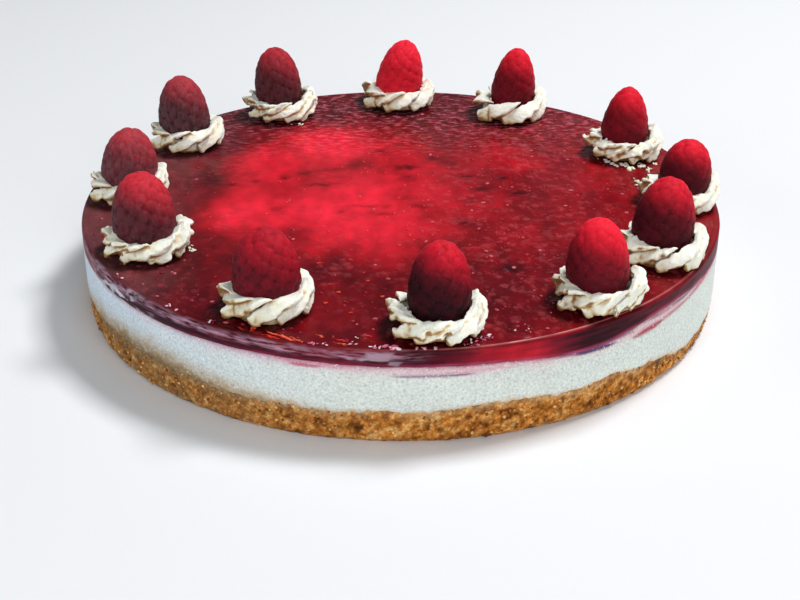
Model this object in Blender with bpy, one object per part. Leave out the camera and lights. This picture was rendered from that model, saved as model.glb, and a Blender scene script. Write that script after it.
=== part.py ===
"""A twelve-portion raspberry cheesecake, 260 mm across: a biscuit crumb base, a cheese filling and a
raspberry glaze, with a piped cream rosette and a raspberry on each portion. Metres, +Z up, standing
on z = 0 with its axis on Z. Run with: blender --background --python part.py"""

import math
from collections import namedtuple

import bmesh
import bpy
from mathutils import Vector, noise

MM = 0.001
GAP = 0.3 * MM  # between pieces that touch, so that no two solids overlap

# The round cake
CAKE_RADIUS = 130 * MM
BASE_HEIGHT = 11.5 * MM
FILLING_TOP = 31.0 * MM
GLAZE_TOP = 37.3 * MM
STEPS_ROUND = 72
EVEN_RADIUS = 118 * MM  # inside this the layers are flat, and outside it their edges wander
FOOT_RADIUS = 127 * MM
FOOT_BEVEL = 1.8 * MM
SHARP_ANGLE = math.radians(40)

# The biscuit base is a little smaller than the filling above it. The lines where the layers meet at
# the side wander. Waves are (height in mm, how many go round the cake, phase), and humps are (height
# in mm, azimuth and half width in degrees).
BASE_INSET = 0.8 * MM
BASE_HOLLOW = 1.0 * MM
CRUMB_ROUGHNESS = 1.0 * MM
CRUMB_DENSITY = 14
BASE_WAVES = ((1.0, 2, -0.6), (0.8, 5, 1.1))
BASE_HUMPS = ((2.2, -75, 45), (-3.5, -20, 40))
FILLING_WAVES = ((0.3, 3, 0.4), (0.3, 7, 0.0))
FILLING_HUMPS = ((-2.0, -60, 16), (1.4, -38, 20), (0.8, -112, 25))
BIB_HEIGHT = 1.3 * MM  # height over which the filling comes out to the full radius

# The glaze's upper edge is crisp, but soft and drooping on one side
CRISP_EDGE = 1.0 * MM
SOFT_EDGE = 3.2 * MM
SOFT_SIDE = math.radians(-125)
SOFT_WIDTH = math.radians(75)

# A rosette of piped cream, dished to hold its berry. Its outline starts at the foot and goes out, up
# and in to the lip: shares of the outer radius and of the height, and the swirl's turn in degrees.
RIDGES = 9
COLUMNS_PER_RIDGE = 3
ROSETTE_HEIGHT = 10.0 * MM
CREST_OUTLINE = ((0.88, 0.00, 0), (1.00, 0.20, 12), (0.99, 0.56, 34), (0.86, 0.93, 60))
GROOVE_OUTLINE = ((0.80, 0.00, 0), (0.87, 0.18, 12), (0.83, 0.46, 34), (0.77, 0.76, 60))
FLANK_DEPTH = (0.0, 0.5, 1.0)  # from a crest, gently down into the groove, and steeply up again
LIP_TURN = 80
LIP_CREST = 0.97
LIP_GROOVE = 0.84
LIP_WALL = 0.9 * MM  # between the berry and the lip, and below it the berry and the dish
DISH_WALL = 0.7 * MM
CREAM_WALL = 1.6 * MM  # the least from the berry to the outside
DISH_MIDDLE = 5.5 * MM  # the level halfway up the dish's side
SEAT_HEIGHT = 3.0 * MM  # the berry's foot above the glaze
RINGS = 8
UNEVENNESS = 0.07
# The piping starts at one side, where its ridges stick out as tongues, and ends in a smooth high lobe
TONGUE_SIDE = math.radians(188)
TONGUE_WIDTH = math.radians(42)
TONGUE_REACH = 0.11
LOBE_SIDE = math.radians(8)
LOBE_WIDTH = math.radians(60)
LOBE_RISE = 0.20
LOBE_SMOOTHNESS = 0.55

# A raspberry, standing on its open end
DRUPELETS = 100
DRUPELET_DEPTH = 0.06  # how deep the grooves between drupelets are, as a share of the radius
BERRY_WAIST = 0.34  # the share of its height where a berry is widest
BERRY_MOUTH = 0.80  # the width of its open end, as a share of the widest
BERRY_DOME = 2.8  # a larger power makes a fuller tip
BERRY_SLICES = 200
GOLDEN_ANGLE = math.pi * (3 - math.sqrt(5))

# One row for each portion, as the photograph shows them, in degrees and mm: the rosette's azimuth from
# +X, distance from the axis and width, and the berry's width, height, taper to its tip, place in the
# rosette along X and Y, and lean at its tip along X and Y
PORTIONS = (
    (-83.6, 113.0, 32.8, 22.4, 29.5, 0.14, (0.3, 0.5), (0.8, 0.5)),
    (-52.7, 117.0, 31.4, 23.0, 29.0, 0.16, (-1.2, 0.8), (-0.4, 0.8)),
    (-29.7, 114.0, 32.0, 23.6, 29.0, 0.16, (-1.0, 1.0), (2.2, 0.8)),
    (-3.0, 114.0, 30.2, 21.4, 25.5, 0.12, (1.2, -0.4), (1.2, -0.9)),
    (26.2, 110.8, 31.6, 21.0, 28.0, 0.30, (-1.1, 0.0), (1.2, 0.4)),
    (62.3, 110.8, 33.2, 20.8, 29.5, 0.26, (0.8, 0.4), (2.2, 0.2)),
    (90.4, 113.2, 32.8, 22.6, 29.0, 0.24, (-1.0, -0.6), (3.8, -0.4)),
    (119.6, 113.2, 32.2, 22.2, 29.5, 0.15, (-1.2, 0.0), (-1.6, 0.4)),
    (148.2, 112.4, 31.0, 23.0, 29.0, 0.18, (-0.8, 0.0), (-1.2, 0.2)),
    (179.0, 112.2, 30.4, 23.4, 26.2, 0.18, (0.0, 0.0), (1.6, 0.4)),
    (-152.0, 109.2, 31.4, 24.6, 29.5, 0.15, (-0.6, -0.8), (-0.3, 0.2)),
    (-115.4, 109.4, 31.8, 24.8, 29.0, 0.14, (0.1, -0.8), (-0.3, -0.2)),
)

# Lengths in metres and angles in radians
Rosette = namedtuple("Rosette", "number width turn")
Berry = namedtuple("Berry", "width height taper stand lean")


def material(name, colour, roughness):
    mat = bpy.data.materials.new(name)
    mat.use_nodes = True
    shader = mat.node_tree.nodes["Principled BSDF"]
    shader.inputs["Base Color"].default_value = (*colour, 1)
    shader.inputs["Roughness"].default_value = roughness
    shader.inputs["Metallic"].default_value = 0
    return mat


def add_object(name, bm, mat, location=(0, 0, 0)):
    bmesh.ops.recalc_face_normals(bm, faces=bm.faces)
    if bm.calc_volume(signed=True) < 0:
        bmesh.ops.reverse_faces(bm, faces=bm.faces)
    mesh = bpy.data.meshes.new(name)
    bm.to_mesh(mesh)
    bm.free()
    mesh.materials.append(mat)
    mesh.shade_smooth()
    mesh.set_sharp_from_angle(angle=SHARP_ANGLE)
    obj = bpy.data.objects.new(name, mesh)
    obj.location = location
    bpy.data.collections["cheesecake"].objects.link(obj)
    return obj


def bump(azimuth, centre, width):
    """A smooth hump of height 1 at an azimuth, that is gone one width to each side."""
    away = abs(math.remainder(azimuth - centre, math.tau)) / width
    return 0.5 + 0.5 * math.cos(math.pi * away) if away < 1 else 0.0


def waves(azimuth, table):
    return sum(height * MM * math.sin(count * azimuth + phase) for height, count, phase in table)


def humps(azimuth, table):
    total = 0
    for height, side, width in table:
        total += height * MM * bump(azimuth, math.radians(side), math.radians(width))
    return total


def crumbs(azimuth, height):
    """Rough relief of the biscuit's side, plus or minus half its roughness."""
    place = Vector((math.cos(azimuth), math.sin(azimuth), height))
    return 0.5 * CRUMB_ROUGHNESS * noise.noise(place * CRUMB_DENSITY)


def base_edge(azimuth):
    """The height at the side where the filling starts."""
    return BASE_HEIGHT + waves(azimuth, BASE_WAVES) + humps(azimuth, BASE_HUMPS) + crumbs(azimuth, 0.3)


def base_edge_radius(azimuth):
    return CAKE_RADIUS - BASE_INSET + crumbs(azimuth, 1.0)


def filling_edge(azimuth):
    """The height at the side where the glaze starts."""
    return FILLING_TOP + waves(azimuth, FILLING_WAVES) + humps(azimuth, FILLING_HUMPS)


def edge_rounding(azimuth):
    return CRISP_EDGE + (SOFT_EDGE - CRISP_EDGE) * bump(azimuth, SOFT_SIDE, SOFT_WIDTH)


def turned(rings):
    """A closed solid of rings round the Z axis. Each ring is a function from azimuth to (radius,
    height), and the first and last lie on the axis."""
    bm = bmesh.new()
    last = len(rings) - 1
    profile = [bm.verts.new((0 if level in (0, last) else 1, 0, level)) for level in range(last + 1)]
    edges = [bm.edges.new(pair) for pair in zip(profile, profile[1:])]
    bmesh.ops.spin(
        bm,
        geom=profile + edges,
        cent=(0, 0, 0),
        axis=(0, 0, 1),
        angle=math.tau,
        steps=STEPS_ROUND,
        use_merge=True,
    )
    bmesh.ops.remove_doubles(bm, verts=bm.verts, dist=1e-6)
    for vert in bm.verts:
        azimuth = math.atan2(vert.co.y, vert.co.x)
        radius, height = rings[round(vert.co.z)](azimuth)
        vert.co = (radius * math.cos(azimuth), radius * math.sin(azimuth), height)
    # The shorter diagonal of each quad, so that facing surfaces of two layers fold alike
    bmesh.ops.triangulate(bm, faces=bm.faces, quad_method="SHORT_EDGE")
    return bm


def flat(radius, height):
    return lambda azimuth: (radius, height)


def add_crumb_base():
    rings = (
        flat(0, 0),
        flat(FOOT_RADIUS, 0),
        lambda azimuth: (CAKE_RADIUS - BASE_HOLLOW + crumbs(azimuth, 0.2), FOOT_BEVEL),
        lambda azimuth: (CAKE_RADIUS - BASE_HOLLOW + crumbs(azimuth, 0.7), 0.5 * base_edge(azimuth)),
        lambda azimuth: (base_edge_radius(azimuth), base_edge(azimuth)),
        flat(EVEN_RADIUS, BASE_HEIGHT),
        flat(0, BASE_HEIGHT),
    )
    biscuit = material("biscuit_crumb", (0.48, 0.27, 0.09), 0.9)
    return add_object("crumb_base", turned(rings), biscuit)


def add_filling():
    rings = (
        flat(0, BASE_HEIGHT + GAP),
        flat(EVEN_RADIUS, BASE_HEIGHT + GAP),
        lambda azimuth: (base_edge_radius(azimuth), base_edge(azimuth) + GAP),
        lambda azimuth: (CAKE_RADIUS, base_edge(azimuth) + GAP + BIB_HEIGHT),
        lambda azimuth: (CAKE_RADIUS, filling_edge(azimuth)),
        flat(EVEN_RADIUS, FILLING_TOP),
        flat(0, FILLING_TOP),
    )
    cheese = material("cheese_filling", (0.80, 0.80, 0.72), 0.6)
    return add_object("cheese_filling", turned(rings), cheese)


def add_glaze():
    def rounded(inwards, down):
        def ring(azimuth):
            size = edge_rounding(azimuth)
            return CAKE_RADIUS - inwards * size, GLAZE_TOP - down * size

        return ring

    rings = (
        flat(0, FILLING_TOP + GAP),
        flat(EVEN_RADIUS, FILLING_TOP + GAP),
        lambda azimuth: (CAKE_RADIUS, filling_edge(azimuth) + GAP),
        rounded(0.0, 1.0),
        rounded(0.3, 0.3),
        rounded(1.0, 0.0),
        flat(EVEN_RADIUS, GLAZE_TOP),
        flat(0, GLAZE_TOP),
    )
    glaze = material("raspberry_glaze", (0.28, 0.012, 0.03), 0.15)
    return add_object("raspberry_glaze", turned(rings), glaze)


# A rosette and its berry are modelled round the rosette's foot, with their origin on the glaze.


def berry_profile(share, taper):
    """A berry's radius at a share of its height, as a share of its widest radius."""
    if share < BERRY_WAIST:
        below = 1 - share / BERRY_WAIST
        return 1 - (1 - BERRY_MOUTH) * below * below
    above = min(1.0, (share - BERRY_WAIST) / (1 - BERRY_WAIST))
    return (1 - taper * above) * math.sqrt(1 - above**BERRY_DOME)


def berry_radius(berry, level):
    """A berry's radius at a level above the glaze. Below its mouth it stays as wide as there."""
    share = max(0.0, (level - SEAT_HEIGHT) / berry.height)
    return berry.width / 2 * berry_profile(share, berry.taper)


def berry_centre(berry, level):
    """Where a berry's middle is at a level above the glaze, with its lean."""
    return berry.stand + berry.lean * max(0.0, (level - SEAT_HEIGHT) / berry.height)


def even_shares(berry, count):
    """Shares of a berry's height, from tip to mouth, between which its skin has equal areas."""
    thickness = 1 / BERRY_SLICES
    radii = [berry_profile(index * thickness, berry.taper) for index in range(BERRY_SLICES + 1)]
    covered = 0.5
    areas = []
    for low, high in zip(radii, radii[1:]):
        slant = math.hypot(berry.width / 2 * (high - low), berry.height * thickness)
        areas.append((low + high) * slant)
    for index in reversed(range(BERRY_SLICES)):
        covered += areas[index] / sum(areas) * count
        if covered >= 1:
            covered -= 1
            yield (index + 0.5) * thickness


def add_raspberry(number, berry, place):
    """A berry of small domes, one for each drupelet: the hull of their centres, with each face poked
    for the pit between three drupelets and each edge turned to be the groove between two."""
    bm = bmesh.new()
    for index, share in enumerate(even_shares(berry, DRUPELETS)):
        level = SEAT_HEIGHT + share * berry.height
        reach = berry_radius(berry, level)
        azimuth = index * GOLDEN_ANGLE + number
        bm.verts.new((reach * math.cos(azimuth), reach * math.sin(azimuth), level))
    bm.verts.new((0, 0, SEAT_HEIGHT))
    bmesh.ops.convex_hull(bm, input=bm.verts)
    crests = bm.edges[:]
    pits = bmesh.ops.poke(bm, faces=bm.faces)["verts"]
    bmesh.ops.rotate_edges(bm, edges=crests, use_ccw=False)
    middle = Vector((0, 0, SEAT_HEIGHT + BERRY_WAIST * berry.height))
    for vert in pits:
        if vert.co.z > SEAT_HEIGHT:
            vert.co = middle + (1 - DRUPELET_DEPTH) * (vert.co - middle)
    for vert in bm.verts:
        vert.co += berry_centre(berry, vert.co.z)
    return add_object(f"raspberry_{number:02d}", bm, bpy.data.materials["raspberry"], place)


def rosette_point(ring, column, rosette, berry):
    """A point of a rosette. Rings 0 to 2 are the dish under the berry, from its middle, ring 3 is the
    lip, and rings 4 to 7 go down the outside to the foot."""
    depth = FLANK_DEPTH[column % COLUMNS_PER_RIDGE]
    start = math.tau * column / (RIDGES * COLUMNS_PER_RIDGE) + rosette.turn
    turn = LIP_TURN if ring <= 3 else CREST_OUTLINE[RINGS - 1 - ring][2]
    azimuth = start + math.radians(turn)
    lobe = bump(azimuth, LOBE_SIDE, LOBE_WIDTH)
    depth *= 1 - LOBE_SMOOTHNESS * lobe
    high = ROSETTE_HEIGHT * (1 + LOBE_RISE * lobe)
    if ring < 3:
        level = DISH_MIDDLE if ring == 2 else SEAT_HEIGHT - GAP
        reach = berry_radius(berry, level) + DISH_WALL if ring > 0 else 0
    elif ring == 3:
        level = high * (LIP_CREST + (LIP_GROOVE - LIP_CREST) * depth)
        reach = berry_radius(berry, level) + LIP_WALL
    direction = Vector((math.cos(azimuth), math.sin(azimuth), 0))
    if ring <= 3:
        return berry_centre(berry, level) + reach * direction + Vector((0, 0, level))
    crest_share, crest_rise, turn = CREST_OUTLINE[RINGS - 1 - ring]
    groove_share, groove_rise, turn = GROOVE_OUTLINE[RINGS - 1 - ring]
    level = GAP + high * (crest_rise + (groove_rise - crest_rise) * depth)
    share = crest_share + (groove_share - crest_share) * depth
    tongue = TONGUE_REACH * (1 - depth) * bump(azimuth, TONGUE_SIDE, TONGUE_WIDTH)
    uneven = noise.noise(Vector((column // COLUMNS_PER_RIDGE + 0.5, ring + 0.5, rosette.number)))
    reach = rosette.width / 2 * share * (1 + tongue + UNEVENNESS * min(0, uneven))
    from_berry = reach * direction - berry_centre(berry, level)
    from_berry.length = max(from_berry.length, berry_radius(berry, level) + CREAM_WALL)
    return berry_centre(berry, level) + from_berry + Vector((0, 0, level))


def add_rosette(rosette, berry, place):
    """A ball whose rings take a rosette's outline and whose columns are its ridges and grooves, swept
    round by the swirl."""
    columns = RIDGES * COLUMNS_PER_RIDGE
    bm = bmesh.new()
    bmesh.ops.create_uvsphere(bm, u_segments=columns, v_segments=RINGS, radius=1)
    for vert in bm.verts:
        ring = round(math.acos(max(-1.0, min(1.0, vert.co.z))) / math.pi * RINGS)
        column = round(math.atan2(vert.co.y, vert.co.x) / math.tau * columns) % columns
        vert.co = (0, 0, GAP) if ring == RINGS else rosette_point(ring, column, rosette, berry)
    return add_object(f"rosette_{rosette.number:02d}", bm, bpy.data.materials["piped_cream"], place)


def main():
    for obj in list(bpy.data.objects):
        bpy.data.objects.remove(obj)
    cake = bpy.data.collections.new("cheesecake")
    bpy.context.scene.collection.children.link(cake)
    material("piped_cream", (0.83, 0.76, 0.60), 0.5)
    material("raspberry", (0.42, 0.015, 0.04), 0.5)
    add_crumb_base()
    add_filling()
    add_glaze()
    for number, portion in enumerate(PORTIONS, start=1):
        azimuth, distance, rosette_width, width, height, taper, stand, lean = portion
        rosette = Rosette(number, rosette_width * MM, number * GOLDEN_ANGLE)
        stand = Vector((*stand, 0)) * MM
        lean = Vector((*lean, 0)) * MM
        berry = Berry(width * MM, height * MM, taper, stand, lean)
        turn = math.radians(azimuth)
        place = (distance * MM * math.cos(turn), distance * MM * math.sin(turn), GLAZE_TOP)
        add_rosette(rosette, berry, place)
        add_raspberry(number, berry, place)


main()
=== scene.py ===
"""Looks for a twelve-portion raspberry cheesecake: a biscuit crumb base, a cheese filling, a raspberry
glaze, and a piped cream rosette with a raspberry on each portion. Lengths here are in millimetres, and
add_piece turns them into metres. Azimuths are in degrees from +X, and the side seen in front is -90."""

import itertools
import math
from collections import namedtuple

import bmesh
import bpy
import numpy as np
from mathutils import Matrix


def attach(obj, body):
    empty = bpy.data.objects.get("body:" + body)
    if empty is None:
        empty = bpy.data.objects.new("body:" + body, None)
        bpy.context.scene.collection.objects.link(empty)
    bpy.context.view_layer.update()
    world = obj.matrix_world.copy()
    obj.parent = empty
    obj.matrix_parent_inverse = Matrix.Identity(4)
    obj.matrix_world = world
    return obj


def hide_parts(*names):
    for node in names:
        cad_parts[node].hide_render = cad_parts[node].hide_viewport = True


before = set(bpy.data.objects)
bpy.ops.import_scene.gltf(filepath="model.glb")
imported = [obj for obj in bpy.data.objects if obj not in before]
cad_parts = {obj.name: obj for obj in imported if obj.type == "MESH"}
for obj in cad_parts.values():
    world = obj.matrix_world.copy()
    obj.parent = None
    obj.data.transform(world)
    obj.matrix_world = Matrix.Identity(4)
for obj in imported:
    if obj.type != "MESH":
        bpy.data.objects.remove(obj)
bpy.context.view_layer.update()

MM = 0.001

# The sizes of the CAD model, as in its source
CAKE_RADIUS = 130
BASE_HEIGHT = 11.5
FILLING_TOP = 31.0
GLAZE_TOP = 37.3
GAP = 0.3
EVEN_RADIUS = 118
FOOT_RADIUS = 127
FOOT_BEVEL = 1.8
BASE_INSET = 0.8
BASE_HOLLOW = 1.0
BASE_WAVES = ((1.0, 2, -0.6), (0.8, 5, 1.1))
BASE_HUMPS = ((2.2, -75, 45), (-3.5, -20, 40))
FILLING_WAVES = ((0.3, 3, 0.4), (0.3, 7, 0.0))
FILLING_HUMPS = ((-2.0, -60, 16), (1.4, -38, 20), (0.8, -112, 25))
BIB_HEIGHT = 1.3
CRISP_EDGE = 1.0
SOFT_EDGE = 3.2
SOFT_SIDE = -125
SOFT_WIDTH = 75
ROSETTE_HEIGHT = 10.0
SEAT_HEIGHT = 3.0
LOBE_SIDE = 8
LOBE_WIDTH = 60
LOBE_RISE = 0.20
TONGUE_SIDE = 188
TONGUE_WIDTH = 60
DRUPELETS = 100
BERRY_WAIST = 0.34
BERRY_MOUTH = 0.80
BERRY_DOME = 2.8
GOLDEN_ANGLE = math.pi * (3 - math.sqrt(5))

# One for each portion: where the rosette and its berry are and how big, as in the CAD's source, then
# how the cream is piped (its strands and how ragged they are), how red the berry is at its foot and at
# its tip, and how much higher the cream stands in front
Portion = namedtuple(
    "Portion",
    "azimuth distance cream_width width height taper stand lean strands ragged foot_red tip_red rise",
)
PORTIONS = (
    Portion(-83.6, 113.0, 32.8, 22.4, 29.5, 0.14, (0.3, 0.5), (0.8, 0.5), 9, 1.2, 0.05, 0.82, 0.0),
    Portion(-52.7, 117.0, 31.4, 23.0, 29.0, 0.16, (-1.2, 0.8), (-0.4, 0.8), 9, 1.3, 0.31, 1.00, 0.05),
    Portion(-29.7, 114.0, 32.0, 23.6, 29.0, 0.16, (-1.0, 1.0), (2.2, 0.8), 8, 0.9, 0.17, 0.84, 0.10),
    Portion(-3.0, 114.0, 30.2, 21.4, 25.5, 0.12, (1.2, -0.4), (1.2, -0.9), 8, 1.0, 0.18, 0.90, 0.0),
    Portion(26.2, 110.8, 31.6, 21.0, 28.0, 0.30, (-1.1, 0.0), (1.2, 0.4), 10, 1.6, 0.38, 0.90, 0.0),
    Portion(62.3, 110.8, 33.2, 20.8, 29.5, 0.26, (0.8, 0.4), (2.2, 0.2), 7, 0.6, 0.36, 0.95, 0.10),
    Portion(90.4, 113.2, 32.8, 22.6, 29.0, 0.24, (-1.0, -0.6), (3.8, -0.4), 8, 0.7, 0.84, 1.00, 0.10),
    Portion(119.6, 113.2, 32.2, 22.2, 29.5, 0.15, (-1.2, 0.0), (-1.6, 0.4), 10, 1.5, 0.18, 0.70, 0.0),
    Portion(148.2, 112.4, 31.0, 23.0, 29.0, 0.18, (-0.8, 0.0), (-1.2, 0.2), 8, 0.6, 0.08, 0.72, 0.20),
    Portion(179.0, 112.2, 30.4, 23.4, 26.2, 0.18, (0.0, 0.0), (1.6, 0.4), 8, 0.8, 0.30, 0.72, 0.0),
    Portion(-152.0, 109.2, 31.4, 24.6, 29.5, 0.15, (-0.6, -0.8), (-0.3, 0.2), 9, 1.5, 0.20, 0.86, 0.0),
    Portion(-115.4, 109.4, 31.8, 24.8, 29.0, 0.14, (0.1, -0.8), (-0.3, -0.2), 8, 0.6, 0.32, 0.72, 0.32),
)

# Shapes and colours by numbers


def ramp(values, start, end):
    share = np.clip((values - start) / (end - start), 0, 1)
    return share * share * (3 - 2 * share)


def bell(values, centre, width):
    """A bell of height 1 round the centre, which fades out without an end."""
    return np.exp(-(((values - centre) / width) ** 2))


def bump(azimuth, centre, width):
    """A smooth hump of height 1 at an azimuth, that is gone one width to each side. Degrees."""
    away = np.abs((azimuth - centre + 180) % 360 - 180) / width
    return np.where(away < 1, 0.5 + 0.5 * np.cos(np.pi * away), 0)


def around(azimuth, waves, humps):
    """What waves and humps add to a height, as in the CAD's source."""
    total = sum(height * np.sin(count * np.radians(azimuth) + phase) for height, count, phase in waves)
    return total + sum(height * bump(azimuth, side, width) for height, side, width in humps)


LATTICE_SIZE = 64
LATTICE = np.random.default_rng(5).uniform(-1, 1, (LATTICE_SIZE,) * 3)


def noise(points, size):
    """Smooth noise from -1 to 1 at each point, with lumps of that size (one number or one for each
    axis)."""
    cells = np.asarray(points) / size
    low = np.floor(cells).astype(int)
    share = cells - low
    share = share * share * (3 - 2 * share)
    total = np.zeros(len(cells))
    for corner in itertools.product((0, 1), repeat=3):
        weight = np.prod(np.where(corner, share, 1 - share), axis=1)
        place = (low + corner) % LATTICE_SIZE
        total += weight * LATTICE[place[:, 0], place[:, 1], place[:, 2]]
    return total


def layered(points, size, layers=3):
    """Noise with finer noise on it, each layer half as large and half as strong."""
    size = np.asarray(size, float)
    total = sum(noise(points + 17.3 * layer, size / 2**layer) / 2**layer for layer in range(layers))
    return total / (2 - 2 ** (1 - layers))


def linear(colour):
    """A picture's colour, from 0 to 255, as shaders take it."""
    shares = np.array(colour) / 255
    return np.where(shares < 0.04045, shares / 12.92, ((shares + 0.055) / 1.055) ** 2.4)


def tones(values, stops):
    """Colours at values from 0 to 1, between stops of (value, red, green, blue)."""
    places = [stop[0] for stop in stops]
    colours = np.array([linear(stop[1:]) for stop in stops])
    return np.stack([np.interp(values, places, colours[:, channel]) for channel in range(3)], axis=1)


def blend(colours, other, amount):
    """Colours mixed with others, or with one of a picture, by an amount from 0 to 1 for each."""
    other = linear(other) if isinstance(other, tuple) else other
    amount = np.clip(amount, 0, 1)[:, None]
    return colours * (1 - amount) + other * amount


# Meshes


def azimuths(points):
    return np.degrees(np.arctan2(points[:, 1], points[:, 0]))


def polar(radius, turn, height):
    """Points round an axis, from turns in radians."""
    return np.stack((radius * np.cos(turn), radius * np.sin(turn), 0 * turn + height), axis=-1)


def add_object(name, data):
    new = bpy.data.objects.new(name, data)
    bpy.context.scene.collection.objects.link(new)
    return new


def mesh_values(items, name, width, kind=float):
    """What a mesh's points, edges or corners hold under a name, in rows of that width."""
    values = np.zeros(len(items) * width, kind)
    items.foreach_get(name, values)
    return values.reshape(-1, width)


def add_piece(name, points, polygons, surface, paint, node=None):
    """A piece of the cake from points in millimetres, arrays of three- or four-cornered faces, and a
    colour for each point, with a fourth number where the material reads one."""
    mesh = bpy.data.meshes.new(name)
    mesh.vertices.add(len(points))
    mesh.vertices.foreach_set("co", (np.asarray(points) * MM).ravel())
    corners = np.concatenate([np.full(len(faces), faces.shape[1]) for faces in polygons])
    mesh.loops.add(int(corners.sum()))
    mesh.loops.foreach_set("vertex_index", np.concatenate([faces.ravel() for faces in polygons]))
    mesh.polygons.add(len(corners))
    mesh.polygons.foreach_set("loop_start", np.cumsum(corners) - corners)
    mesh.update(calc_edges=True)
    mesh.validate()
    mesh.shade_smooth()
    if paint.shape[1] == 3:
        paint = np.column_stack((paint, np.ones(len(paint))))
    colours = mesh.attributes.new("paint", "FLOAT_COLOR", "POINT")
    colours.data.foreach_set("color", paint.ravel())
    mesh.materials.append(surface.material)
    piece = add_object(name, mesh)
    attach(piece, "root")
    if node:
        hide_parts(node)


def grid(rows, columns):
    """The faces of a sheet of rows that close on themselves."""
    row, column = np.meshgrid(np.arange(rows - 1), np.arange(columns), indexing="ij")
    after = (column + 1) % columns
    corners = (row * columns + column, row * columns + after)
    corners += ((row + 1) * columns + after, (row + 1) * columns + column)
    return np.stack([corner.ravel() for corner in corners], axis=1)


def caps(rows, columns):
    """The faces that close a sheet at both ends. Its two poles are the points after its last row."""
    column = np.arange(columns)
    after = (column + 1) % columns
    start = np.full(columns, rows * columns)
    end = (rows - 1) * columns
    bottom = np.stack((start, after, column), axis=1)
    top = np.stack((end + column, end + after, start + 1), axis=1)
    return np.concatenate((bottom, top))


def closed_sheet(points):
    """Points and faces of a closed body from rows of points, with a pole in the middle of each end."""
    rows, columns, _ = points.shape
    poles = (points[0].mean(axis=0), points[-1].mean(axis=0))
    return np.concatenate((points.reshape(-1, 3), poles)), [grid(rows, columns), caps(rows, columns)]


def joined(parts):
    """One body from several of (points, lists of faces)."""
    points = np.concatenate([part[0] for part in parts])
    firsts = np.cumsum([0] + [len(part[0]) for part in parts[:-1]])
    polygons = []
    for first, part in zip(firsts, parts):
        polygons += [faces + first for faces in part[1]]
    return points, polygons


def ball(subdivisions):
    """Points and faces of a ball of radius 1 with even triangles."""
    bm = bmesh.new()
    bmesh.ops.create_icosphere(bm, subdivisions=subdivisions, radius=1)
    points = np.array([vert.co for vert in bm.verts])
    faces = np.array([[vert.index for vert in face.verts] for face in bm.faces])
    bm.free()
    return points, faces


def relaxed(points, edges, rounds):
    """Points after each has moved halfway to the middle of its neighbours, some rounds over."""
    count = np.bincount(edges.ravel(), minlength=len(points))[:, None]
    for _ in range(rounds):
        total = np.zeros_like(points)
        for axis in range(3):
            for near, far in ((0, 1), (1, 0)):
                ends = points[edges[:, far], axis]
                total[:, axis] += np.bincount(edges[:, near], ends, len(points))
        points = 0.5 * points + 0.5 * total / count
    return points


def add_scattered(name, surface, rng, lumps, subdivisions, roughness, level=True):
    """A piece of small lumps, given as centres, sizes and colours. Each is dented and turned by chance,
    and a level one only about Z."""
    shape, faces = ball(subdivisions)
    count = len(shape)
    centres, sizes, colours = lumps
    points = []
    for centre, size in zip(centres, sizes):
        dented = shape * (1 + roughness * rng.uniform(-1, 1, (count, 1))) * size
        angle = rng.uniform(0, math.tau)
        cosine = math.cos(angle)
        sine = math.sin(angle)
        turn = np.array(((cosine, -sine, 0), (sine, cosine, 0), (0, 0, 1)))
        if not level:
            turn = turn @ np.linalg.qr(rng.normal(size=(3, 3)))[0]
            turn *= np.sign(np.linalg.det(turn))
        points.append(dented @ turn.T + centre)
    polygons = [faces + index * count for index in range(len(points))]
    add_piece(name, np.concatenate(points), polygons, surface, np.repeat(colours, count, axis=0))


# Materials


def rgba(colour):
    return (*linear(colour), 1)


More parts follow.
